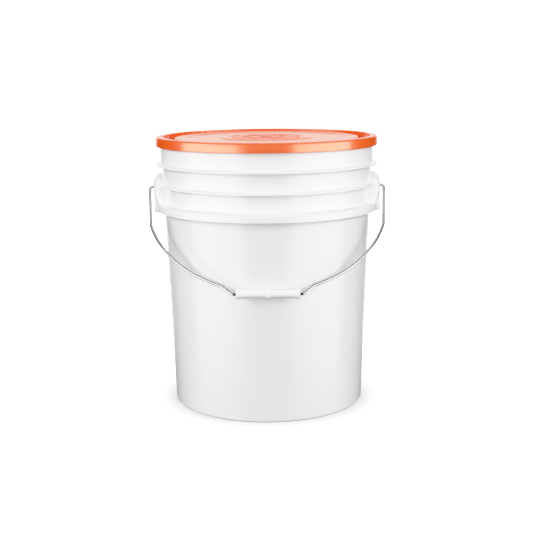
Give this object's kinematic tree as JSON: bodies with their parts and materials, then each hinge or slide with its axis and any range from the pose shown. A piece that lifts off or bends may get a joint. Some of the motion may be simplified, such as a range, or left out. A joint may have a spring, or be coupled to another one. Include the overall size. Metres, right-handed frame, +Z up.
{
  "type": "fermenting bucket",
  "caption": "Round tapered plastic pail with stiffening rings, press-fit gasketed lid and wire bail with a plastic grip, for fermenting and storing liquids.",
  "frame": {"origin": "centre of the foot ring, on the plane the bucket stands on", "axes": "+Z up along the bucket's axis; the two ears are on +X and -X; the bail leans on the -Y side, which is the front"},
  "size_m": [0.3302, 0.3078, 0.372],
  "materials": {
    "bucket_plastic": "semi-gloss white polyethylene",
    "lid_plastic": "glossy orange polyethylene",
    "gasket_rubber": "matt",
    "galvanised_wire": "drawn and galvanised",
    "grip_plastic": "satin white polyethylene"
  },
  "bodies": {
    "bucket": {"bucket_body": "bucket_plastic"},
    "lid": {"lid": "lid_plastic", "lid_gasket": "gasket_rubber"},
    "bail": {"bail_wire": "galvanised_wire"},
    "grip": {"bail_grip": "grip_plastic"}
  },
  "joints": [
    {"name": "lid_lift", "type": "slide", "parent": "bucket", "child": "lid", "axis": [0, 0, 1], "range_m": [0, 0.2]},
    {"name": "bail_swing", "type": "hinge", "parent": "bucket", "child": "bail", "pos_m": [0, 0, 0.3015], "axis": [-1, 0, 0], "range_deg": [0, 259.9]},
    {"name": "grip_spin", "type": "hinge", "parent": "bail", "child": "grip", "pos_m": [0, -0.1468, 0.1784], "axis": [-1, 0, 0], "continuous": true}
  ]
}
